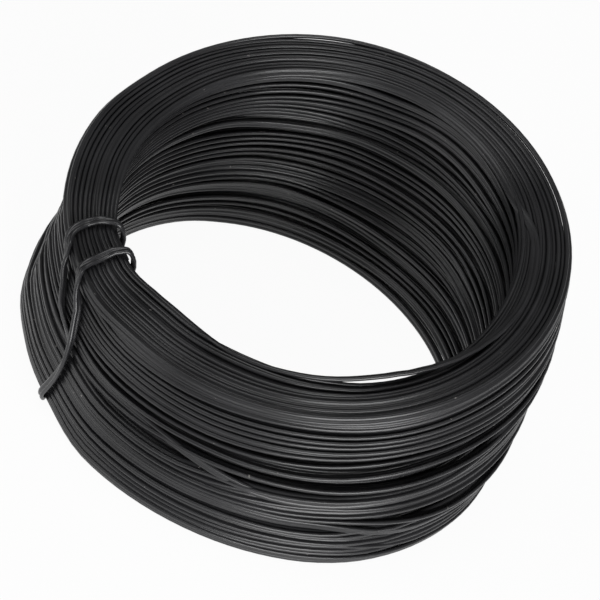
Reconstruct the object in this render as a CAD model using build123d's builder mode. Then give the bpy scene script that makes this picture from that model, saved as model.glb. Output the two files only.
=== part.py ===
from build123d import *
from math import asin, atan, cos, degrees, radians
import os

os.makedirs("parts", exist_ok=True)

# Coil of flat plastic-coated binding wire, lying on its end.
# The turns are gathered by a tie on one side and fan out on the other, so the
# coil is lower on one side than opposite. Origin: centre of the foot, +Z up.

# Coil
foot_radius = 64.3  # outside of the lowest turns
belly_swell = 0.8  # the turns half way up stand out from the foot by this
rim_set_in = 2.2  # the topmost turns are smaller by this
foot_wall = 13.2
belly_wall = 13.5
rim_wall = 13.5
rim_ovality = 1.2  # the topmost turns are longer and narrower than a circle by this
oval_angle = 76.0  # degrees from +X round to their long way
belly_offset_x = 1.2  # the turns half way up lie off centre by this
belly_offset_y = -0.4
rim_offset_x = -1.8  # and the topmost turns by this
rim_offset_y = 1.5
low_height = 37.4  # rim above the floor at its lowest point
high_height = 65.2  # and at its highest
high_side_angle = 53.0  # degrees from +X round to the highest point

# Flat wire
wire_width = 2.3
wire_thickness = 1.05

# Turns that show: one facet of a wall is one turn's flat, an end shows their edges
turns_up = 9
turns_across = 7
ripple_depth = 0.35  # a turn stands out, its neighbour in, by this
end_step = 0.45  # on the ends every other turn lies this much deeper

# Gaps where the turns part, widest at their angle and closing to both sides.
# Each: share of the height, angle, degrees to each side, opening
outer_gaps = [
    (0.47, 331, 34, 3.4),
    (0.21, 316, 28, 2.0),
    (0.52, 262, 30, 2.4),
    (0.72, 292, 24, 1.8),
    (0.52, 28, 24, 3.0),
    (0.30, 70, 28, 2.6),
    (0.40, 120, 34, 3.4),
    (0.66, 165, 26, 2.6),
]
bore_gaps = [
    (0.30, 75, 34, 3.4),
    (0.68, 125, 30, 3.2),
    (0.48, 20, 28, 3.0),
    (0.80, 60, 26, 2.2),
    (0.55, 300, 30, 2.4),
]
gap_depth = 2.8  # at the widest place
gap_end = 0.12  # share of the depth and opening that is left at its two ends
gap_flare = 2.5  # how far the cutter stands out of the wall

# Tie: one length of the same wire, wound twice round the gathered turns.
# Offsets are along the coil from the tie angle. On the outside the first turn
# starts from under the second, where that one bends.
tie_angle = 219.0  # degrees from +X round to the tie
first_rim_offset = -7.4
first_foot_offset = 5.8
second_rim_offset = 1.2
second_foot_offset = 8.0
bend_offset = 6.4
bend_height = 29.0
tie_clearance = 0.15
tie_end_room = 0.6  # the coil stays gathered this far beyond the tie
tie_floor_gap = 0.1

# Waist: the gathered section that the tie holds
waist_set_in = 1.8  # drawn in from the outside of the belly
waist_wall = 14.2
waist_corner_radius = 3.0
waist_run_out_angle = 12.5  # degrees from there back to the full section
waist_drop = 1.9  # rim pulled down at the tie
waist_flare = 5.0  # how far the cutter clears the full section

belly_radius = foot_radius + belly_swell
rim_radius = foot_radius - rim_set_in
bore_foot_radius = foot_radius - foot_wall
bore_belly_radius = belly_radius - belly_wall
bore_rim_radius = rim_radius - rim_wall
waist_outer_radius = belly_radius - waist_set_in
waist_inner_radius = waist_outer_radius - waist_wall
tie_reach = second_foot_offset + wire_width / 2 + tie_end_room
waist_half_angle = degrees(asin(tie_reach / waist_inner_radius))
mean_height = (low_height + high_height) / 2
rim_slope = (high_height - low_height) / (2 * foot_radius)
rise = Vector(1, 0, 0).rotate(Axis.Z, high_side_angle)


def fan_plane(share):
    # plane of the turns that lie at this share of the height
    lift = Vector(0, 0, share * rim_slope)
    level_normal = Vector(0, 0, 1)
    belly = 4 * share * (1 - share)
    return Plane(
        origin=(
            belly * belly_offset_x + share * rim_offset_x,
            belly * belly_offset_y + share * rim_offset_y,
            share * mean_height,
        ),
        x_dir=rise + lift,
        z_dir=level_normal - rise * (share * rim_slope),
    )


def turn_outline(radius, share, mode=Mode.ADD):
    # one turn seen from above: round at the foot, oval at the rim
    ovality = share * rim_ovality
    turned = oval_angle - high_side_angle
    return Ellipse(radius + ovality, radius - ovality, rotation=turned, mode=mode)


def bulge(share, foot, belly, rim):
    # a parabola through the three radii of a wall
    from_foot = foot * (1 - share) * (1 - 2 * share)
    from_belly = 4 * belly * share * (1 - share)
    from_rim = rim * share * (2 * share - 1)
    return from_foot + from_belly + from_rim


def ripple(ring):
    # rings between turns stand out and in by turns; the two end rings stay true
    if ring in (0, turns_up):
        return 0
    return ripple_depth if ring % 2 else -ripple_depth


def section_plane(angle):
    # upright section across the coil: local x is outwards, local y is up
    return Plane(
        origin=(0, 0, 0),
        x_dir=Vector(1, 0, 0).rotate(Axis.Z, angle),
        z_dir=Vector(0, -1, 0).rotate(Axis.Z, angle),
    )


def on_wall(angle, radius, share):
    # how far out and how high a turn of this radius lies at this angle
    belly = 4 * share * (1 - share)
    shift = Vector(
        belly * belly_offset_x + share * rim_offset_x,
        belly * belly_offset_y + share * rim_offset_y,
    ).dot(Vector(1, 0, 0).rotate(Axis.Z, angle))
    out = radius + shift + share * rim_ovality * cos(radians(2 * (angle - oval_angle)))
    return out, share * (mean_height + out * rim_slope * cos(radians(angle - high_side_angle)))


def gap_cutter(share, angle, reach, opening, foot, belly, rim, side):
    # a V along the turns, cut into the outside (side 1) or the bore (side -1)
    with BuildPart() as cutter:
        for step in (-1, -0.5, 0, 0.5, 1):
            section_angle = angle + step * reach
            size = gap_end + (1 - gap_end) * (1 - step * step)
            wall, height = on_wall(section_angle, bulge(share, foot, belly, rim), share)
            root = wall - side * gap_depth * size
            mouth = wall + side * gap_flare
            half = opening * size / 2 * (gap_depth * size + gap_flare) / (gap_depth * size)
            with BuildSketch(section_plane(section_angle)):
                Polygon((root, height), (mouth, height + half), (mouth, height - half), align=None)
        loft(ruled=True)
    return cutter.part


# Waist cutter
tie_direction = Vector(1, 0, 0).rotate(Axis.Z, tie_angle)
along_coil = Vector(0, 1, 0).rotate(Axis.Z, tie_angle)
waist_foot = tie_floor_gap + wire_thickness + tie_clearance


def rim_height(angle):
    return mean_height + foot_radius * rim_slope * cos(radians(angle - high_side_angle))


def waist_section(angle, inner, outer, foot, top):
    with BuildSketch(section_plane(angle)) as section:
        with Locations(((inner + outer) / 2, (foot + top) / 2)):
            RectangleRounded(outer - inner, top - foot, waist_corner_radius)
    return section.sketch


waist_top = rim_height(tie_angle) - waist_drop
waist_middle = ((waist_inner_radius + waist_outer_radius) / 2, (waist_foot + waist_top) / 2)
chord = cos(radians(waist_half_angle))
free_inner = bore_rim_radius - waist_flare
free_outer = belly_radius + waist_flare
free_foot = -waist_flare
run_out_angle = waist_half_angle + waist_run_out_angle
with BuildPart() as waist:
    for turn_angle in (-run_out_angle, -waist_half_angle, waist_half_angle, run_out_angle):
        angle = tie_angle + turn_angle
        if abs(turn_angle) == waist_half_angle:
            add(waist_section(angle, waist_inner_radius / chord, waist_outer_radius / chord, waist_foot, waist_top))
        else:
            add(waist_section(angle, free_inner, free_outer, free_foot, rim_height(angle) + waist_flare))
    loft(ruled=True)

with BuildPart() as waist_cutter:
    with BuildSketch(section_plane(tie_angle - run_out_angle)):
        with Locations((free_inner - waist_flare, free_foot - waist_flare)):
            Rectangle(
                free_outer - free_inner + 2 * waist_flare,
                high_height,
                align=(Align.MIN, Align.MIN),
            )
    revolve(axis=Axis.Z, revolution_arc=2 * run_out_angle)
    add(waist, mode=Mode.SUBTRACT)

# Wire coil
with BuildPart() as wire_coil:
    for ring in range(turns_up + 1):
        share = ring / turns_up
        with BuildSketch(fan_plane(share)):
            turn_outline(bulge(share, foot_radius, belly_radius, rim_radius) + ripple(ring), share)
    loft(ruled=True)
    for ring in range(turns_up + 1):
        share = ring / turns_up
        with BuildSketch(fan_plane(share)):
            turn_outline(bulge(share, bore_foot_radius, bore_belly_radius, bore_rim_radius) - ripple(ring), share)
    loft(ruled=True, mode=Mode.SUBTRACT)
    for share, inner, outer in ((0, bore_foot_radius, foot_radius), (1, bore_rim_radius, rim_radius)):
        pitch = (outer - inner) / turns_across
        for turn in range(1, turns_across, 2):
            with BuildSketch(fan_plane(share)):
                turn_outline(inner + (turn + 1) * pitch, share)
                turn_outline(inner + turn * pitch, share, mode=Mode.SUBTRACT)
            extrude(amount=end_step, both=True, mode=Mode.SUBTRACT)
    for gap in outer_gaps:
        add(gap_cutter(*gap, foot_radius, belly_radius, rim_radius, 1), mode=Mode.SUBTRACT)
    for gap in bore_gaps:
        add(gap_cutter(*gap, bore_foot_radius, bore_belly_radius, bore_rim_radius, -1), mode=Mode.SUBTRACT)
    add(waist_cutter, mode=Mode.SUBTRACT)

wire_coil.part.label = "wire_coil"
export_step(wire_coil.part, "parts/wire_coil.step")

# Wire tie
def around_waist(distance):
    # outline of the gathered section, this far outside it
    return RectangleRounded(
        waist_outer_radius - waist_inner_radius + 2 * distance,
        waist_top - waist_foot + 2 * distance,
        waist_corner_radius + distance,
        mode=Mode.ADD if distance > tie_clearance else Mode.SUBTRACT,
    )


def strand(stations, start_radius, end_radius):
    # the sleeve round the gathered section, cut to a band that runs through the
    # stations (offset, height), and kept only between the two radii
    first_offset, first_height = stations[0]
    last_offset, last_height = stations[-1]
    lean = atan((last_offset - first_offset) / (last_height - first_height))
    half_band = wire_width / cos(lean) / 2
    left_side = [(offset - half_band, height) for offset, height in stations]
    right_side = [(offset + half_band, height) for offset, height in stations]
    with BuildPart() as sleeve:
        with BuildSketch(section_plane(tie_angle)):
            with Locations(waist_middle):
                around_waist(tie_clearance + wire_thickness)
                around_waist(tie_clearance)
        extrude(amount=tie_reach, both=True)
        with BuildSketch(Plane(tie_direction * start_radius, x_dir=along_coil, z_dir=tie_direction)):
            Polygon(*left_side, *reversed(right_side), align=None)
        extrude(amount=end_radius - start_radius, mode=Mode.INTERSECT)
    return sleeve.part


loop_height = waist_top + tie_clearance + wire_thickness
middle_radius = waist_middle[0]
first_rim = (first_rim_offset, loop_height)
second_rim = (second_rim_offset, loop_height)
bend = (bend_offset, bend_height)
with BuildPart() as wire_tie:
    add(strand([first_rim, bend], middle_radius, free_outer))
    add(strand([first_rim, (first_foot_offset, 0)], 0, middle_radius))
    add(strand([second_rim, bend, (second_foot_offset, 0)], middle_radius, free_outer))
    add(strand([second_rim, (second_foot_offset, 0)], 0, middle_radius))

wire_tie.part.label = "wire_tie"
export_step(wire_tie.part, "parts/wire_tie.step")
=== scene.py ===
import math
import random
import bmesh
import bpy
from mathutils import Matrix, Vector, noise
from mathutils.bvhtree import BVHTree


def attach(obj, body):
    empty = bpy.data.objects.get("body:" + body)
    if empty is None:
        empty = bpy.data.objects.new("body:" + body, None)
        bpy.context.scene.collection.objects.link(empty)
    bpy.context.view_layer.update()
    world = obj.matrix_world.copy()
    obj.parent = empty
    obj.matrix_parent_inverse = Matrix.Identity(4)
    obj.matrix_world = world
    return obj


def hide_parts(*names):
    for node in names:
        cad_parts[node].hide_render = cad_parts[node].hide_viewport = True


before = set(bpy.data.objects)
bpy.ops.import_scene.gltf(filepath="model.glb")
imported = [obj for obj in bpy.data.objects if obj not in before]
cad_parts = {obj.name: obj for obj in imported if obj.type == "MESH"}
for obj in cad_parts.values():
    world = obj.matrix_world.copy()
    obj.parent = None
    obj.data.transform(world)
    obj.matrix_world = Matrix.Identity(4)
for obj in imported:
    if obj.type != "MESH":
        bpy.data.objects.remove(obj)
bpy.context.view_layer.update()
print("frame loaded")

cameraValues = {
    "target": (0.0, 0.0, 0.0259),  # metres, the middle of the coil
    "distance": 0.5078,  # metres
    "elevation": 39.73,  # degrees above the floor
    "roll": 25.53,  # degrees, the photograph is tilted
    "lens": 122.46,  # mm
    "sensor": 36,  # mm
    "shift": (0.0076, -0.0135),
}


def addCamera(v):
    cameraData = bpy.data.cameras.new("camera")
    camera = bpy.data.objects.new("camera", cameraData)
    bpy.context.scene.collection.objects.link(camera)
    cameraData.sensor_width = v["sensor"]
    cameraData.lens = v["lens"]
    cameraData.shift_x, cameraData.shift_y = v["shift"]
    elevation = math.radians(v["elevation"])
    back = Vector((0, -math.cos(elevation), math.sin(elevation)))
    place = Vector(v["target"]) + back * v["distance"]
    camera.matrix_world = (
        Matrix.Translation(place)
        @ Matrix.Rotation(math.radians(90) - elevation, 4, "X")
        @ Matrix.Rotation(math.radians(v["roll"]), 4, "Z")
    )
    bpy.context.scene.camera = camera


addCamera(cameraValues)
print("camera set")

# lengths from here on are in mm, and angles in degrees round from +X, unless a note says otherwise

wireValues = {
    "halfWidth": 1.15,
    "halfThickness": 0.525,  # over each of the two ribs
    "ribPlace": 0.6,  # from the middle of the wire
    "grooveThickness": 0.22,  # between the ribs
    "shoulder": (0.75, 0.34),  # outer side of a rib: shares of its height and of its way in
    "flank": (0.76, 0.38),  # inner side of it: shares of its height and of its place
}

coilValues = {
    "footRadius": 64.3,
    "bellySwell": 0.8,
    "rimSetIn": 2.2,
    "footWall": 13.2,
    "bellyWall": 13.5,
    "rimWall": 13.5,
    "rimOvality": 1.2,
    "ovalAngle": 76.0,
    "bellyOffset": (1.2, -0.4),
    "rimOffset": (-1.8, 1.5),
    "lowHeight": 37.4,
    "highHeight": 65.2,
    "highSideAngle": 53.0,
    "gatherAngle": 219.0,
    "gatherFull": 8.0,  # degrees each side of it that are drawn in fully
    "gatherFade": 17.0,
    "gatherFoot": 1.4,
    "gatherRim": 1.9,
    "gatherOutside": 1.3,
    "gatherSpread": (0.5, 0.8),  # share of the last at the foot, and what the rim has more
}


def smooth(x):
    x = min(1.0, max(0.0, x))
    return x * x * (3 - 2 * x)


def bulge(share, foot, belly, rim):
    fromFoot = foot * (1 - share) * (1 - 2 * share)
    fromRim = rim * share * (2 * share - 1)
    return fromFoot + 4 * belly * share * (1 - share) + fromRim


def outerRadius(share):
    v = coilValues
    foot = v["footRadius"]
    return bulge(share, foot, foot + v["bellySwell"], foot - v["rimSetIn"])


def innerRadius(share):
    v = coilValues
    wall = bulge(share, v["footWall"], v["bellyWall"], v["rimWall"])
    return outerRadius(share) - wall


def rimHeight(angle):
    v = coilValues
    low, high = v["lowHeight"], v["highHeight"]
    swing = (high - low) / 2 * math.cos(angle - math.radians(v["highSideAngle"]))
    return (low + high) / 2 + swing


def degreesFrom(angle, middle):
    # the short way round, from an angle in radians to a middle in degrees
    return abs((math.degrees(angle) - middle + 180) % 360 - 180)


def swell(angle, place):
    # 1 at the middle of a place, 0 outside it; a place is (middle, half width) in degrees
    off = degreesFrom(angle, place[0]) / place[1]
    return math.cos(math.pi / 2 * min(1, off)) ** 2


def gathered(angle):
    # 1 under the tie, 0 away from it
    v = coilValues
    return 1 - smooth((degreesFrom(angle, v["gatherAngle"]) - v["gatherFull"]) / v["gatherFade"])


def onCoil(angle, radius, share, lift=0.0):
    # point in metres; the turns of one share of the height lie in one tilted plane
    v = coilValues
    high = math.radians(v["highSideAngle"])
    slope = share * (v["highHeight"] - v["lowHeight"]) / (2 * v["footRadius"])
    uphill = Vector((math.cos(high), math.sin(high), slope)).normalized()
    level = Vector((-math.sin(high), math.cos(high), 0))
    oval = share * v["rimOvality"]
    turned = math.radians(v["ovalAngle"])
    across = (radius + oval) * math.cos(angle - turned)
    onOval = Vector((across, (radius - oval) * math.sin(angle - turned)))
    onOval.rotate(Matrix.Rotation(turned - high, 2))
    belly = 4 * share * (1 - share)
    point = Vector((0, 0, share * (v["lowHeight"] + v["highHeight"]) / 2 + lift))
    point.xy = belly * Vector(v["bellyOffset"]) + share * Vector(v["rimOffset"])
    point += uphill * onOval.x + level * onOval.y
    point.z += gathered(angle) * (v["gatherFoot"] * (1 - share) - v["gatherRim"] * share)
    return point / 1000


# the bore side of the rim has slipped down on one side
slipValues = {
    "drop": 3.4,  # at the edge of the bore
    "place": (328.0, 62.0),  # middle and half width
    "across": 0.55,  # share of the wall that has slipped
}


def slipped(angle, across):
    # how much lower the rim is here
    v = slipValues
    return v["drop"] * swell(angle, v["place"]) * max(0.0, 1 - across / v["across"])


# how far the turns lie outside their even place: (degrees round, mm)
edgeValues = {
    # the bore side of the rim
    "rim": (
        (150, 0.0), (190, 1.3), (208, 1.8), (220, 0.6),
        (234, -1.5), (262, -1.7), (290, -0.5), (300, 0.0),
    ),
    # the outside of the wall, which the tie draws in behind the rim
    "wall": ((164, 0.0), (180, -1.6), (188, -2.6), (202, -0.2), (208, 0.0)),
    # the outside of the rim
    "brim": ((156, 0.0), (174, 0.9), (198, 0.8), (213, 0.0)),
    # the outside at the foot
    "foot": ((222, 0.0), (245, 0.55), (285, 0.55), (305, 0.6), (330, 0.0)),
}


def betweenKeys(keys, x):
    for (startX, startY), (endX, endY) in zip(keys, keys[1:]):
        if x <= endX:
            return startY + (endY - startY) * smooth((x - startX) / (endX - startX))
    return keys[-1][1]


def edgeShift(angle, across, share):
    # across is the share of the wall's thickness, and share that of its height,
    # over which each of the four fades out
    degrees = math.degrees(angle) % 360
    reach = {
        "rim": (1 - across) * smooth((share - 0.6) / 0.4),
        "wall": across * smooth((share - 0.15) / 0.25) * smooth((1 - share) / 0.1),
        "brim": across * smooth((share - 0.85) / 0.15),
        "foot": across * smooth(1 - share / 0.4),
    }
    return sum(
        betweenKeys(keys, degrees) * reach[name]
        for name, keys in edgeValues.items()
        if keys[0][0] < degrees < keys[-1][0]
    )


# gaps that open between the turns of one face of the wall:
# share of the height, degrees round, degrees to each side, opening in mm
gapValues = {
    "outside": (
        (0.47, 331, 34, 3.4),
        (0.21, 316, 28, 2.0),
        (0.52, 262, 30, 2.4),
        (0.72, 292, 24, 1.8),
        (0.52, 28, 24, 3.0),
        (0.30, 70, 28, 2.6),
        (0.40, 120, 34, 1.7),
        (0.66, 165, 26, 2.6),
        (0.27, 200, 20, 1.8),
    ),
    "bore": (
        (0.30, 75, 34, 3.4),
        (0.68, 125, 30, 3.2),
        (0.48, 20, 28, 3.0),
        (0.80, 60, 26, 2.2),
        (0.55, 300, 30, 2.4),
    ),
    "reach": 0.13,  # share of the height over which the turns are pushed together
    "layers": 0.4,  # share of the wall that opens
    "layersFade": 0.25,
    "edge": 60,  # how sharply the turns part
    "show": 0.7,  # share of the opening by which they part; they leave a gap anyhow
}


def parted(angle, row, across):
    # share of the height by which the turns lie lower or higher beside the gaps
    v = gapValues
    shift = 0
    for face, gaps in ((1, v["outside"]), (0, v["bore"])):
        nearFace = smooth((v["layers"] - abs(across - face)) / v["layersFade"])
        for place, middle, halfWidth, opening in gaps:
            off = degreesFrom(angle, middle) / halfWidth
            if off < 1 and nearFace > 0:
                push = v["show"] * opening / 2 / rimHeight(angle) * (1 - off * off) * nearFace
                away = row - place
                shift += push * math.tanh(away * v["edge"]) * math.exp(-abs(away) / v["reach"])
    return shift


windingValues = {
    "rows": 26,  # turns up the wall
    "layers": 5,  # and across it
    "stations": 108,  # points on a turn
    "floorRoom": 0.06,  # kept free under the lowest turns
    "edgeRoom": 0.15,  # kept free outside the turns for their wander
    "cornerDrop": 0.45,  # the outside and inside layers are lower at the rim
    "cornerWidth": 4,  # the higher, the nearer to the corner that is
    "rimRoom": 0.55,  # left over the layers for the turns that lie on the rim
    "change": 0.24,  # turns in which the wire goes from one layer to the next
    "nested": 0.45,  # rows by which every other layer lies lower
    "slack": 0.14,  # between two turns at most, before they are spread over the height
    # how the turns lie
    "seed": 12,
    "tilted": 0.88,  # share of them that lie tilted
    "tilt": (60.0, 88.0),  # degrees, where the coil is low
    "tiltedUp": 0.75,  # share of those whose outer side faces up
    "flatRoll": 18.0,  # degrees, the others
    "flatter": 0.3,  # share by which they lie flatter where it is high
    "cornerLean": 24.0,  # degrees at the corners of the wall
    "cornerReach": 8,  # the higher, the nearer to the corner that is
    "footRoll": 66.0,  # degrees by which the lowest turns inside the wall lie over on the floor
    "footReach": 14,  # the higher, the nearer to the floor that is
    "leanIn": 0.8,  # share of a tilted turn's reach by which it lies further in
    # how loose they are
    "bundleWander": 0.75,  # rows by which neighbours wander together
    "bundles": (1.4, 5.0, 0.6),  # how fast that changes round, up and across the wall
    "ownWander": 0.5,  # rows by which a turn wanders by itself
    "depthWander": 0.5,
    "rollWander": 16.0,  # degrees
    "weave": 0.3,  # a turn lies in or out of its neighbours
    "heldByTie": 0.7,  # share of it that they lose under the tie
    "heldInside": 0.6,  # and inside the wall
}

# how the noise runs for each wander: waves in a turn, and its own place in the noise
wanderLanes = {
    "ownWander": (1.9, 11.3, 4.7),
    "depthWander": (2.3, 5.9, 21.7),
    "rollWander": (1.6, 31.1, 8.3),
    "rimWander": (2.1, 3.3, 9.1),
    "rimRoll": (1.7, 14.9, 2.2),
    "rimLift": (2.6, 41.0, 7.7),
}


def wander(name, t):
    # from -1 to 1 along the wire
    waves, *lane = wanderLanes[name]
    return noise.noise(Vector((t * waves, *lane)))


def wanderTogether(angle, row, across):
    # from -1 to 1, nearly the same for turns that lie side by side
    aroundRate, upRate, acrossRate = windingValues["bundles"]
    ring = Vector((math.cos(angle), math.sin(angle), 0)) * aroundRate
    return noise.noise(ring + Vector((0, 3.1, row * upRate + across * acrossRate)))


def inWall(angle, across, row, depth=0.0):
    # across and row go from 0 to 1 over the wall's thickness and height
    w = windingValues
    corner = abs(2 * across - 1) ** w["cornerWidth"]
    height = rimHeight(angle)
    bottom = wireValues["halfWidth"] + w["floorRoom"]
    top = height - wireValues["halfWidth"] - w["rimRoom"] - w["cornerDrop"] * corner
    top -= slipped(angle, across)
    share = (bottom + (top - bottom) * row) / height
    atFoot, towardsRim = coilValues["gatherSpread"]
    drawnIn = gathered(angle) * coilValues["gatherOutside"] * (atFoot + towardsRim * share)
    room = wireValues["halfThickness"] + w["edgeRoom"]
    inside = innerRadius(share) + room
    outside = outerRadius(share) - room - drawnIn
    radius = inside + (outside - inside) * across + depth + edgeShift(angle, across, share)
    return onCoil(angle, radius, share)


# outside turns that cross their neighbours: turn counted from the foot,
# degrees where it begins and has crossed, rows that it climbs
crossValues = {
    "turns": (
        (8, (292, 322), -3.2),
        (9, (296, 330), -2.6),
        (16, (248, 286), -4.0),
        (13, (318, 344), 2.4),
        (4, (300, 326), -1.8),
    ),
    "back": (20, 120),  # degrees between which they come back
    "settle": 0.9,  # the turns under them lie deeper
    "near": 1.6,  # rows each side of them that do
    "soon": 3,  # they do so as many times sooner than the crossing is done
}


def crossed(angle, row, layer, upward):
    # rows by which an outside turn has left its own place, and how much deeper the others lie
    v = crossValues
    if layer < windingValues["layers"] - 2:
        return 0, 0
    outermost = layer == windingValues["layers"] - 1
    degrees = math.degrees(angle) % 360
    backStart, backEnd = v["back"]
    deeper = 0
    for crossing, (begin, end), climb in v["turns"]:
        def over(turned):
            out = smooth((turned - begin) / (end - begin))
            return out * smooth((360 + backEnd - turned) / (backEnd - backStart))

        own = over((upward - crossing) * 360) if outermost else 0
        if own > 0:
            return climb * own, 0
        turned = degrees + 360 if degrees < backEnd else degrees
        middle = (crossing - 1 + turned / 360 + climb * over(turned)) / windingValues["rows"]
        near = max(0.0, 1 - abs(row - middle) * windingValues["rows"] / v["near"])
        deeper = max(deeper, v["settle"] * near * smooth(over(turned) * v["soon"]))
    return 0, deeper


def layRows(v):
    # for each layer, the turns' rolls in degrees and their places from foot (0) to rim (1):
    # one that lies tilted takes less room than one that lies flat
    draw = random.Random(v["seed"])
    halfWidth, halfThickness = wireValues["halfWidth"], wireValues["halfThickness"]
    layers = []
    for layer in range(v["layers"]):
        rolls = []
        for turn in range(v["rows"]):
            if draw.random() < v["tilted"]:
                side = -1 if draw.random() < v["tiltedUp"] else 1
                rolls.append(side * draw.uniform(*v["tilt"]))
            else:
                rolls.append(draw.gauss(0, v["flatRoll"]))
        rooms = []
        for roll in rolls:
            leaning = max(0.1, abs(math.sin(math.radians(roll))))
            rooms.append(min(halfWidth, halfThickness / leaning) + draw.uniform(0, v["slack"]))
        places = [0.0]
        for low, high in zip(rooms, rooms[1:]):
            places.append(places[-1] + low + high)
        # every other layer lies lower by a part of a turn, over the gaps of the next
        places = [place / places[-1] for place in places]
        for turn in range(1, v["rows"] - 1):
            places[turn] -= layer % 2 * v["nested"] / v["rows"]
        layers.append((rolls, places))
    return layers


laidRows = layRows(windingValues)


def laidUp(layer, upward):
    # place from foot (0) to rim (1) and roll in degrees; the lowest turn stays on the floor
    rolls, places = laidRows[layer]
    turn = min(int(upward), windingValues["rows"] - 1)
    before = max(0, turn - 1)
    between = smooth(upward - turn)
    row = places[before] + (places[turn] - places[before]) * between
    return row, rolls[before] + (rolls[turn] - rolls[before]) * between


def laidAcross(t, layer):
    # place from the bore (0) to the outside (1)
    w = windingValues
    across = layer
    nextEdge = (layer + 1) * w["rows"]
    if layer < w["layers"] - 1 and t > nextEdge - w["change"] / 2:
        across += smooth((t - nextEdge) / w["change"] + 0.5)
    if layer > 0 and t < layer * w["rows"] + w["change"] / 2:
        across -= 1 - smooth((t - layer * w["rows"]) / w["change"] + 0.5)
    return across / (w["layers"] - 1)


def windingPoint(t):
    # t counts turns from the start of the wire, inside at the foot
    w = windingValues
    layer = min(int(t // w["rows"]), w["layers"] - 1)
    along = t / w["rows"] - layer
    upward = (along if layer % 2 == 0 else 1 - along) * w["rows"]
    row, laidRoll = laidUp(layer, upward)
    across = laidAcross(t, layer)
    angle = 2 * math.pi * t
    buried = 4 * across * (1 - across)
    loose = (1 - w["heldByTie"] * gathered(angle)) * (1 - w["heldInside"] * buried)

    together = wanderTogether(angle, row, across)
    own = wander("ownWander", t)
    row += loose * (w["bundleWander"] * together + w["ownWander"] * own) / w["rows"]
    row += loose * parted(angle, row, across)
    climb, deeper = crossed(angle, row, layer, upward)
    row += climb / w["rows"]
    row = min(1.0, max(0.0, row))

    highSide = 0.5 + 0.5 * math.cos(angle - math.radians(coilValues["highSideAngle"]))
    roll = laidRoll * (1 - (w["flatter"] + (1 - w["flatter"]) * buried) * highSide)
    roll += loose * w["rollWander"] * wander("rollWander", t)
    nearRim, nearFoot = row ** w["cornerReach"], (1 - row) ** w["cornerReach"]
    roll -= w["cornerLean"] * (2 * across - 1) * (nearRim - nearFoot)
    onFoot = (1 - row) ** w["footReach"]
    footRoll = w["footRoll"] * buried
    roll += (footRoll * (1 if layer % 2 else -1) - roll) * onFoot

    depth = loose * w["depthWander"] * wander("depthWander", t) - deeper
    depth += w["weave"] * math.cos(math.pi * t)
    leaning = abs(math.sin(math.radians(roll)))
    reach = wireValues["halfWidth"] - wireValues["halfThickness"]
    depth -= (2 * across - 1) ** 3 * leaning * reach * w["leanIn"]
    return inWall(angle, across, row, depth), roll


rimValues = {
    "turns": 12,
    "end": 0.61,  # turns past the last full one, where the wire ends under the tie
    # degrees, outside to inside
    "rolls": (-26, -44, -14, -54, -30, -40, -66, -24, -142, -160, -118, -150, -128),
    "rollWander": 35.2,  # degrees
    "wander": 0.8,  # across the rim
    "liftWander": 0.2,
    "heldByTie": 0.6,  # share of their looseness that they lose under the tie
    "stagger": 0.22,  # every other turn lies lower
    "join": 0.12,  # turns in which the wire comes up from the last layer
    "joinOut": 0.3,  # it stands out from the wall there
    "firstEnds": (0.92, 0.1),  # turns: where the first one passes into the second, and in how many
    "farPlace": (108.0, 40.0),  # middle and half width
    "farLift": 0.5,  # the first turn on the rim stands off the others there
    "farDrop": 0.5,  # the turns under it
    "farRoll": -50,  # degrees
    "firstLift": 0.15,  # that turn elsewhere
    # the last turn leaves the edge of the bore: degrees round, mm outside that edge
    "looseKeys": (
        (246, 0.7), (262, 0.8), (276, 1.0), (290, 1.2), (301, 1.1), (308, 1.3), (315, 2.0),
        (321, 2.6), (327, 3.2), (334, 3.8), (343, 4.5), (353, 4.9), (372, 4.4), (400, 0.7),
    ),
    "looseRoll": -128.0,  # degrees
    "looseLift": -0.6,
    "looseFade": 20,  # degrees at each of its ends
}


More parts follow.
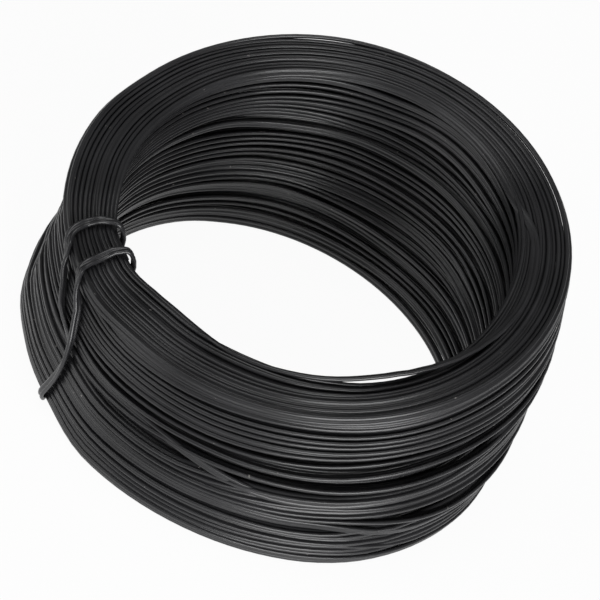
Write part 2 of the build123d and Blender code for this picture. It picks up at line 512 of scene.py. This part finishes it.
def rimPoint(t):
    # t counts turns from where the layers end, outside at the rim
    r = rimValues
    w = windingValues
    angle = 2 * math.pi * t
    lastTurn = r["turns"] + r["end"] - 1
    across = 1 - min(1.0, max(0.0, t - 1) / (lastTurn - 1))
    loose = 1 - r["heldByTie"] * gathered(angle)
    far = swell(angle, r["farPlace"])
    endAt, endIn = r["firstEnds"]
    firstTurn = 1 - smooth((t - endAt) / endIn)

    turn = min(int(t), r["turns"] - 1)
    laidRoll = r["rolls"][turn] + (r["rolls"][turn + 1] - r["rolls"][turn]) * smooth(t - turn)
    roll = laidRoll + loose * r["rollWander"] * wander("rimRoll", t)
    roll += (r["farRoll"] - roll) * far * firstTurn

    halfWidth, halfThickness = wireValues["halfWidth"], wireValues["halfThickness"]
    upright = abs(math.cos(math.radians(roll)))
    half = halfThickness + (halfWidth - halfThickness) * upright
    lift = r["liftWander"] * wander("rimLift", t) - half - slipped(angle, across)
    lift += far * (r["farLift"] * firstTurn - r["farDrop"] * (1 - firstTurn))
    lift -= r["stagger"] * (1 - math.cos(math.pi * max(0, t - 1)))
    lift += r["firstLift"] * firstTurn

    room = halfThickness + w["edgeRoom"]
    sideways = loose * r["wander"] * wander("rimWander", t)
    radius = innerRadius(1) + room + (outerRadius(1) - innerRadius(1) - 2 * room) * across
    radius += sideways * 2 * across * (1 - across) + edgeShift(angle, across, 1)

    leaveAt, backAt = r["looseKeys"][0][0], r["looseKeys"][-1][0]
    around = math.degrees(angle) % 360
    onLoose = around if around > leaveAt else around + 360
    if t > lastTurn and onLoose < backAt:
        free = smooth((onLoose - leaveAt) / r["looseFade"])
        free *= smooth((backAt - onLoose) / r["looseFade"])
        radius += (innerRadius(1) + betweenKeys(r["looseKeys"], onLoose) - radius) * free
        roll += (r["looseRoll"] - roll) * free
        lift += (r["looseLift"] - lift) * free

    place = onCoil(angle, radius, 1, lift)
    join = smooth(t / r["join"])
    if join < 1:
        # the corner of the wall, moved by as much as the last layer's end stands off it
        lastPlace, lastRoll = windingPoint(w["rows"] * w["layers"] - 1e-6)
        onEdge = inWall(angle, 1, 1, r["joinOut"]) + lastPlace - inWall(0, 1, 1, r["joinOut"])
        place = onEdge.lerp(place, join)
        roll = lastRoll + (roll - lastRoll) * join
    return place, roll


def ribbedOutline(v):
    # one quarter, mirrored twice, in metres
    width, height, rib, groove = (
        v[name] / 1000 for name in ("halfWidth", "halfThickness", "ribPlace", "grooveThickness")
    )
    shoulderHeight, shoulderWay = v["shoulder"]
    flankHeight, flankWay = v["flank"]
    quarter = [
        (0, width),
        (height * shoulderHeight, width - (width - rib) * shoulderWay),
        (height, rib),
        (height * flankHeight, rib * flankWay),
        (groove, 0),
    ]
    half = quarter + [(x, -y) for x, y in reversed(quarter[1:-1])]
    return half + [(-x, -y) for x, y in half]


def makeSection(v):
    section = bpy.data.curves.new("wireSection", "CURVE")
    section.dimensions = "2D"
    spline = section.splines.new("POLY")
    outline = ribbedOutline(v)
    spline.points.add(len(outline) - 1)
    for point, (x, y) in zip(spline.points, outline):
        point.co = (x, y, 0, 1)
    spline.use_cyclic_u = True
    sectionObject = bpy.data.objects.new("wireSection", section)
    bpy.context.scene.collection.objects.link(sectionObject)
    return sectionObject


def finishWire(name, mesh, material):
    for face in mesh.polygons:
        face.use_smooth = len(face.vertices) == 4  # the ends stay flat
    mesh.materials.clear()
    mesh.materials.append(material)
    wire = bpy.data.objects.new(name, mesh)
    bpy.context.scene.collection.objects.link(wire)
    return wire


def windWire(name, pointAt, start, end, section, material):
    # pointAt gives the place and the roll in degrees for a count of turns
    curve = bpy.data.curves.new(name, "CURVE")
    curve.dimensions = "3D"
    curve.twist_mode = "Z_UP"
    curve.bevel_mode = "OBJECT"
    curve.bevel_object = section
    curve.use_fill_caps = True
    steps = round((end - start) * windingValues["stations"])
    run = [pointAt(start + (end - start) * k / steps) for k in range(steps + 1)]
    spline = curve.splines.new("POLY")
    spline.points.add(steps)
    for station, (place, roll) in zip(spline.points, run):
        station.co = (*place, 1)
        station.tilt = math.radians(roll)
    holder = bpy.data.objects.new(name + "Curve", curve)
    bpy.context.scene.collection.objects.link(holder)
    graph = bpy.context.evaluated_depsgraph_get()
    mesh = bpy.data.meshes.new_from_object(holder.evaluated_get(graph))
    mesh.name = name
    bpy.data.objects.remove(holder)
    length = sum((b[0] - a[0]).length for a, b in zip(run, run[1:]))
    for corner in mesh.uv_layers[0].data:  # metres along the wire
        corner.uv.x *= length
    return finishWire(name, mesh, material)


coatValues = {
    "black": (0.007, 0.007, 0.0078, 1),
    "worn": (0.022, 0.022, 0.0237, 1),
    "wornFrom": (0.12, 0.38),  # where the coat is not yet worn, and where it is fully
    "wornPatches": 55,  # in a metre
    "dust": (0.20, 0.19, 0.18, 1),
    "dustSize": 0.0016,  # metres
    "dustLimit": (0.735, 0.755),
    "roughness": (0.25, 0.38),
    "streakLength": 0.045,  # metres along the wire
    "streaksAround": 26,
    "streakDepth": 0.000025,  # metres
    "streakStrength": 0.8,
    "grainSize": 0.00035,  # metres
    "grainDepth": 0.000012,
    "grainStrength": 0.6,
}

# the tie's coat is glossier, and its colours are a lighter copy of the wire's coat: painted light,
# standing in for the light that the tie's flat faces catch
tiePaintedLightCoatValues = dict(coatValues)
tiePaintedLightCoatValues.update({
    "black": (0.011, 0.011, 0.0122, 1),
    "worn": (0.034, 0.034, 0.0362, 1),
    "roughness": (0.22, 0.34),
})


def coatedWire(name, v):
    # plastic drawn over the wire: fine lines along it, a slight grain and a little dust
    material = bpy.data.materials.new(name)
    material.use_nodes = True
    nodes, links = material.node_tree.nodes, material.node_tree.links
    shader = nodes["Principled BSDF"]
    coordinates = nodes.new("ShaderNodeTexCoord")

    def addNoise(vector, scale, detail, roughness=0.5):
        texture = nodes.new("ShaderNodeTexNoise")
        texture.inputs["Scale"].default_value = scale
        texture.inputs["Detail"].default_value = detail
        texture.inputs["Roughness"].default_value = roughness
        links.new(vector, texture.inputs["Vector"])
        return texture.outputs["Fac"]

    def addRange(value, start, end, low=0, high=1):
        ranged = nodes.new("ShaderNodeMapRange")
        ranged.inputs["From Min"].default_value = start
        ranged.inputs["From Max"].default_value = end
        ranged.inputs["To Min"].default_value = low
        ranged.inputs["To Max"].default_value = high
        links.new(value, ranged.inputs["Value"])
        return ranged.outputs["Result"]

    def addBump(height, strength, depth):
        bump = nodes.new("ShaderNodeBump")
        bump.inputs["Strength"].default_value = strength
        bump.inputs["Distance"].default_value = depth
        links.new(height, bump.inputs["Height"])
        return bump

    along = nodes.new("ShaderNodeMapping")
    along.inputs["Scale"].default_value = (1 / v["streakLength"], v["streaksAround"], 1)
    links.new(coordinates.outputs["UV"], along.inputs["Vector"])
    onObject = coordinates.outputs["Object"]
    streaks = addNoise(along.outputs["Vector"], 1, 3, 0.6)
    patches = addNoise(onObject, v["wornPatches"], 2)
    grain = addNoise(onObject, 1 / v["grainSize"], 2)
    specks = addNoise(onObject, 1 / v["dustSize"], 4)

    worn = nodes.new("ShaderNodeMath")
    worn.operation = "MULTIPLY"
    links.new(streaks, worn.inputs[0])
    links.new(patches, worn.inputs[1])
    coat = nodes.new("ShaderNodeMix")
    coat.data_type = "RGBA"
    coat.inputs["A"].default_value = v["black"]
    coat.inputs["B"].default_value = v["worn"]
    links.new(addRange(worn.outputs["Value"], *v["wornFrom"]), coat.inputs["Factor"])
    colour = nodes.new("ShaderNodeMix")
    colour.data_type = "RGBA"
    colour.inputs["B"].default_value = v["dust"]
    links.new(addRange(specks, *v["dustLimit"]), colour.inputs["Factor"])
    links.new(coat.outputs["Result"], colour.inputs["A"])
    links.new(colour.outputs["Result"], shader.inputs["Base Color"])
    links.new(addRange(streaks, 0.3, 0.7, *v["roughness"]), shader.inputs["Roughness"])

    drawn = addBump(streaks, v["streakStrength"], v["streakDepth"])
    grained = addBump(grain, v["grainStrength"], v["grainDepth"])
    links.new(drawn.outputs["Normal"], grained.inputs["Normal"])
    links.new(grained.outputs["Normal"], shader.inputs["Normal"])
    return material


def makeTurns():
    section = makeSection(wireValues)
    wireCoat = coatedWire("wireCoat", coatValues)
    inWalls = windingValues["rows"] * windingValues["layers"]
    onRim = rimValues["turns"] + rimValues["end"]
    pieces = [
        windWire(name, pointAt, start, end, section, wireCoat)
        for name, pointAt, start, end in (
            ("innerTurns", windingPoint, 0, inWalls / 3),
            ("middleTurns", windingPoint, inWalls / 3, inWalls * 2 / 3),
            ("outerTurns", windingPoint, inWalls * 2 / 3, inWalls),
            ("rimTurns", rimPoint, 0, onRim),
        )
    ]
    bpy.data.objects.remove(section)
    return pieces


turnPieces = makeTurns()
for piece in turnPieces:
    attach(piece, "root")
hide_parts("wire_coil")
print("turns wound")

tieValues = {
    "angle": 219.0,
    # corners of the gathered turns: from the coil's middle and above the floor
    "footOutside": (63.8, 1.2),
    "rimOutside": (61.2, 36.4),
    "rimInside": (50.2, 39.0),
    "footInside": (49.4, 1.2),
    "upright": (13.0, 36.5),  # their width and height before they lean
    "corner": 4.0,
    "probe": 6.0,  # how far off the turns are looked for, in front and behind
    "footprint": 1.0,  # and to each side
    "smoothing": 4,  # stations each way over which the wire spans the turns
    "clear": 0.05,  # left between the tie and the turns
    "leanOut": 0.6,  # share of a tilted wire's reach by which it lies further out
    "floorRoom": 0.1,
    "spring": (2.08, 0.3, 1.1),  # place where the wire stands off the turns, half width, mm
    "stations": 7,  # between two of the keys below
    # place round the bundle (0 outside foot, 1 outside rim, 2 inside rim, 3 inside foot),
    # mm along the coil, roll in degrees
    "keys": (
        (0.64, 11.0, 0), (0.66, 6.5, -20), (0.70, 2.5, -40), (0.76, -0.3, -45),
        (0.86, -3.2, -45), (0.94, -5.2, -30), (1.0, -7.6, -15), (1.1, -9.8, 0),
        (1.24, -11.2, 12), (1.42, -12.0, 18), (1.62, -12.0, 15), (1.84, -11.2, 8),
        (2.0, -9.8, 0), (2.15, -8.6, 0), (2.5, -3.6, 0), (2.85, 2.0, 0),
        (3.0, 3.6, 0), (3.5, 5.8, 0), (3.9, 7.6, 0), (4.04, 9.0, 0),
        (4.22, 10.8, -4), (4.4, 12.0, -24), (4.52, 12.0, -44), (4.64, 11.2, -58),
        (4.72, 9.8, -62), (4.8, 8.0, -62), (4.88, 6.2, -55), (4.94, 4.0, -40),
        (5.0, 1.9, -20), (5.06, 0.8, 0), (5.14, 0.1, 10), (5.32, -0.7, 20),
        (5.62, -1.7, 18), (5.8, -1.9, 8), (6.0, -1.3, 0), (6.2, 0.4, 0),
        (6.6, 5.0, 0), (6.9, 8.2, 0), (7.05, 9.4, 0), (7.3, 10.4, 0),
    ),
}


def onSection(v, place):
    # point and outward normal on the rounded outline of the gathered turns
    corners = [Vector(v[name]) for name in ("footOutside", "rimOutside", "rimInside", "footInside")]
    (wide, high), corner = v["upright"], v["corner"]
    upright = [Vector((wide, 0)), Vector((wide, high)), Vector((0, high)), Vector((0, 0))]
    side = int(place) % 4
    point = upright[side].lerp(upright[(side + 1) % 4], place - int(place))
    core = Vector((
        min(wide - corner, max(corner, point.x)),
        min(high - corner, max(corner, point.y)),
    ))
    normal = (point - core).normalized()
    leant = []
    for x, y in (core + normal * corner, core + normal * (corner + 1)):
        foot = corners[3].lerp(corners[0], x / wide)
        rim = corners[2].lerp(corners[1], x / wide)
        leant.append(foot.lerp(rim, y / high))
    return leant[0], (leant[1] - leant[0]).normalized()


def smoothKeys(keys, steps):
    # Catmull-Rom through the keys
    ends = [keys[0]] + list(keys) + [keys[-1]]
    rows = []
    for k in range(len(keys) - 1):
        a, b, c, d = (Vector(ends[k + j]) for j in range(4))
        for step in range(steps):
            u = step / steps
            square = (a * 2 - b * 5 + c * 4 - d) * u * u
            cube = (b * 3 - a - c * 3 + d) * u ** 3
            rows.append((b * 2 + (c - a) * u + square + cube) / 2)
    rows.append(Vector(keys[-1]))
    return rows


def castTrees(carriers):
    trees = []
    for carrier in carriers:
        bm = bmesh.new()
        bm.from_mesh(carrier.data)
        trees.append(BVHTree.FromBMesh(bm))
        bm.free()
    return trees


def heightOver(trees, v, middle, normal, along):
    # metres by which the turns stand out from the outline here; a little below it where none does
    probe, footprint = v["probe"] / 1000, v["footprint"] / 1000
    heights = []
    for sideways in (-footprint, 0, footprint):
        start = middle + normal * probe + along * sideways
        for tree in trees:
            hit = tree.ray_cast(start, -normal, 2 * probe)
            if hit[0]:
                heights.append(probe - hit[3])
    return max(heights) if heights else -0.001


def seatTie(v, carriers):
    # stations of the tie: place, outward normal and roll, each resting on the turns below
    angle = math.radians(v["angle"])
    outward = Vector((math.cos(angle), math.sin(angle), 0))
    along = Vector((-math.sin(angle), math.cos(angle), 0))
    up = Vector((0, 0, 1))
    trees = castTrees(carriers)
    halfWidth, halfThickness = wireValues["halfWidth"], wireValues["halfThickness"]
    rows = []
    heights = []
    for place, offset, roll in smoothKeys(v["keys"], v["stations"]):
        point, leaning = onSection(v, place)
        normal = outward * leaning.x + up * leaning.y
        middle = (outward * point.x + up * point.y + along * offset) / 1000
        rows.append((place, middle, normal, roll))
        heights.append(heightOver(trees, v, middle, normal, along))
    reach = v["smoothing"]
    spanned = [max(heights[max(0, k - reach):k + reach + 1]) for k in range(len(rows))]
    springPlace, springHalf, springOff = v["spring"]
    stations = []
    for k, (place, middle, normal, roll) in enumerate(rows):
        near = spanned[max(0, k - 2 * reach):k + 2 * reach + 1]
        onEdge = abs(math.sin(math.radians(roll))) * (halfWidth - halfThickness)
        height = sum(near) / len(near) + (halfThickness + v["clear"] + v["leanOut"] * onEdge) / 1000
        height += springOff / 1000 * smooth(1 - abs(place % 4 - springPlace) / springHalf)
        seat = middle + normal * height
        seat.z = max(seat.z, (halfThickness + v["floorRoom"]) / 1000)
        stations.append((seat, normal, roll))
    return stations


def makeTie(v, carriers, material):
    stations = seatTie(v, carriers)
    outline = ribbedOutline(wireValues)
    bm = bmesh.new()
    loop = None
    onWire = {}  # metres along the tie and share of the way around it
    length = 0
    for k, (place, normal, roll) in enumerate(stations):
        before, after = stations[max(k - 1, 0)][0], stations[min(k + 1, len(stations) - 1)][0]
        length += (place - before).length
        ahead = after - before
        ahead.normalize()
        flat = normal.cross(ahead).normalized()
        thick = ahead.cross(flat).normalized()
        turn = Matrix.Rotation(math.radians(roll), 3, ahead)
        flat, thick = turn @ flat, turn @ thick
        if loop is None:
            loop = [bm.verts.new(place + thick * x + flat * y) for x, y in outline]
            edges = [bm.edges.new((a, b)) for a, b in zip(loop, loop[1:] + loop[:1])]
            bmesh.ops.contextual_create(bm, geom=edges)
            onWire.update((vert, (0, j / len(loop))) for j, vert in enumerate(loop))
            continue
        grown = bmesh.ops.extrude_edge_only(bm, edges=edges)["geom"]
        fresh = [item for item in grown if isinstance(item, bmesh.types.BMVert)]
        edges = [item for item in grown if isinstance(item, bmesh.types.BMEdge)]
        for j, (vert, (x, y)) in enumerate(zip(fresh, outline)):
            vert.co = place + thick * x + flat * y
            onWire[vert] = (length, j / len(outline))
    bmesh.ops.contextual_create(bm, geom=edges)
    bmesh.ops.recalc_face_normals(bm, faces=bm.faces)
    laid = bm.loops.layers.uv.new("UVMap")
    for face in bm.faces:
        seam = max(onWire[vert][1] for vert in face.verts) > 0.7
        for corner in face.loops:
            u, around = onWire[corner.vert]
            corner[laid].uv = (u, 1 if seam and around == 0 else around)
    mesh = bpy.data.meshes.new("tie")
    bm.to_mesh(mesh)
    bm.free()
    return finishWire("tie", mesh, material)


# the tie's lighter coat colour is painted light, for the light that its flat faces catch
tie = makeTie(tieValues, turnPieces, coatedWire("tieCoat", tiePaintedLightCoatValues))
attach(tie, "root")
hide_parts("wire_tie")
print("tie wound")

floorValues = {
    "halfSize": 4,  # metres
    "colour": (0.85, 0.85, 0.85, 1),
    "roughness": 0.9,
    "white": 0.95,  # share of white where the camera or a reflection sees it
}


def addFloor(v):
    mesh = bpy.data.meshes.new("floor")
    bm = bmesh.new()
    bmesh.ops.create_grid(bm, x_segments=1, y_segments=1, size=v["halfSize"])
    bm.to_mesh(mesh)
    bm.free()
    floor = bpy.data.objects.new("floor", mesh)
    bpy.context.scene.collection.objects.link(floor)
    material = bpy.data.materials.new("floorPaper")
    material.use_nodes = True
    nodes, links = material.node_tree.nodes, material.node_tree.links
    shader = nodes["Principled BSDF"]
    shader.inputs["Base Color"].default_value = v["colour"]
    shader.inputs["Roughness"].default_value = v["roughness"]

    def addMath(operation, first, second):
        step = nodes.new("ShaderNodeMath")
        step.operation = operation
        links.new(first, step.inputs[0])
        if isinstance(second, float):
            step.inputs[1].default_value = second
        else:
            links.new(second, step.inputs[1])
        return step.outputs["Value"]

    # the paper is white to the camera and in reflections, and keeps a faint shadow
    path = nodes.new("ShaderNodeLightPath").outputs
    seen = addMath("MAXIMUM", path["Is Camera Ray"], path["Is Glossy Ray"])
    seen = addMath("MAXIMUM", seen, path["Is Transmission Ray"])
    white = nodes.new("ShaderNodeEmission")
    mix = nodes.new("ShaderNodeMixShader")
    links.new(addMath("MULTIPLY", seen, v["white"]), mix.inputs["Fac"])
    links.new(shader.outputs["BSDF"], mix.inputs[1])
    links.new(white.outputs["Emission"], mix.inputs[2])
    links.new(mix.outputs["Shader"], nodes["Material Output"].inputs["Surface"])
    mesh.materials.append(material)


addFloor(floorValues)

lightValues = {
    # place and size in metres, watts
    "lamps": {
        "topSoft": ((-0.1, 0.0, 1.1), 0.5, 2.6),
        "frontSoft": ((0.62, -0.8, 0.17), 0.8, 17.5),
        "leftSoft": ((-0.85, -0.42, 0.5), 0.8, 3.4),
    },
    "target": (0, 0, 0.02),  # metres
    "worldStrength": 0.15,
}


def addLights(v):
    for name, (place, size, power) in v["lamps"].items():
        lampData = bpy.data.lights.new(name, "AREA")
        lampData.size = size
        lampData.energy = power
        lamp = bpy.data.objects.new(name, lampData)
        bpy.context.scene.collection.objects.link(lamp)
        lamp.location = place
        towards = Vector(v["target"]) - Vector(place)
        lamp.rotation_euler = towards.to_track_quat("-Z", "Y").to_euler()
    world = bpy.data.worlds.new("world")
    world.use_nodes = True
    background = world.node_tree.nodes["Background"]
    background.inputs["Color"].default_value = (1, 1, 1, 1)
    background.inputs["Strength"].default_value = v["worldStrength"]
    bpy.context.scene.world = world


addLights(lightValues)
bpy.context.scene.view_settings.view_transform = "Standard"
print("floor and lamps set")

bpy.context.view_layer.update()
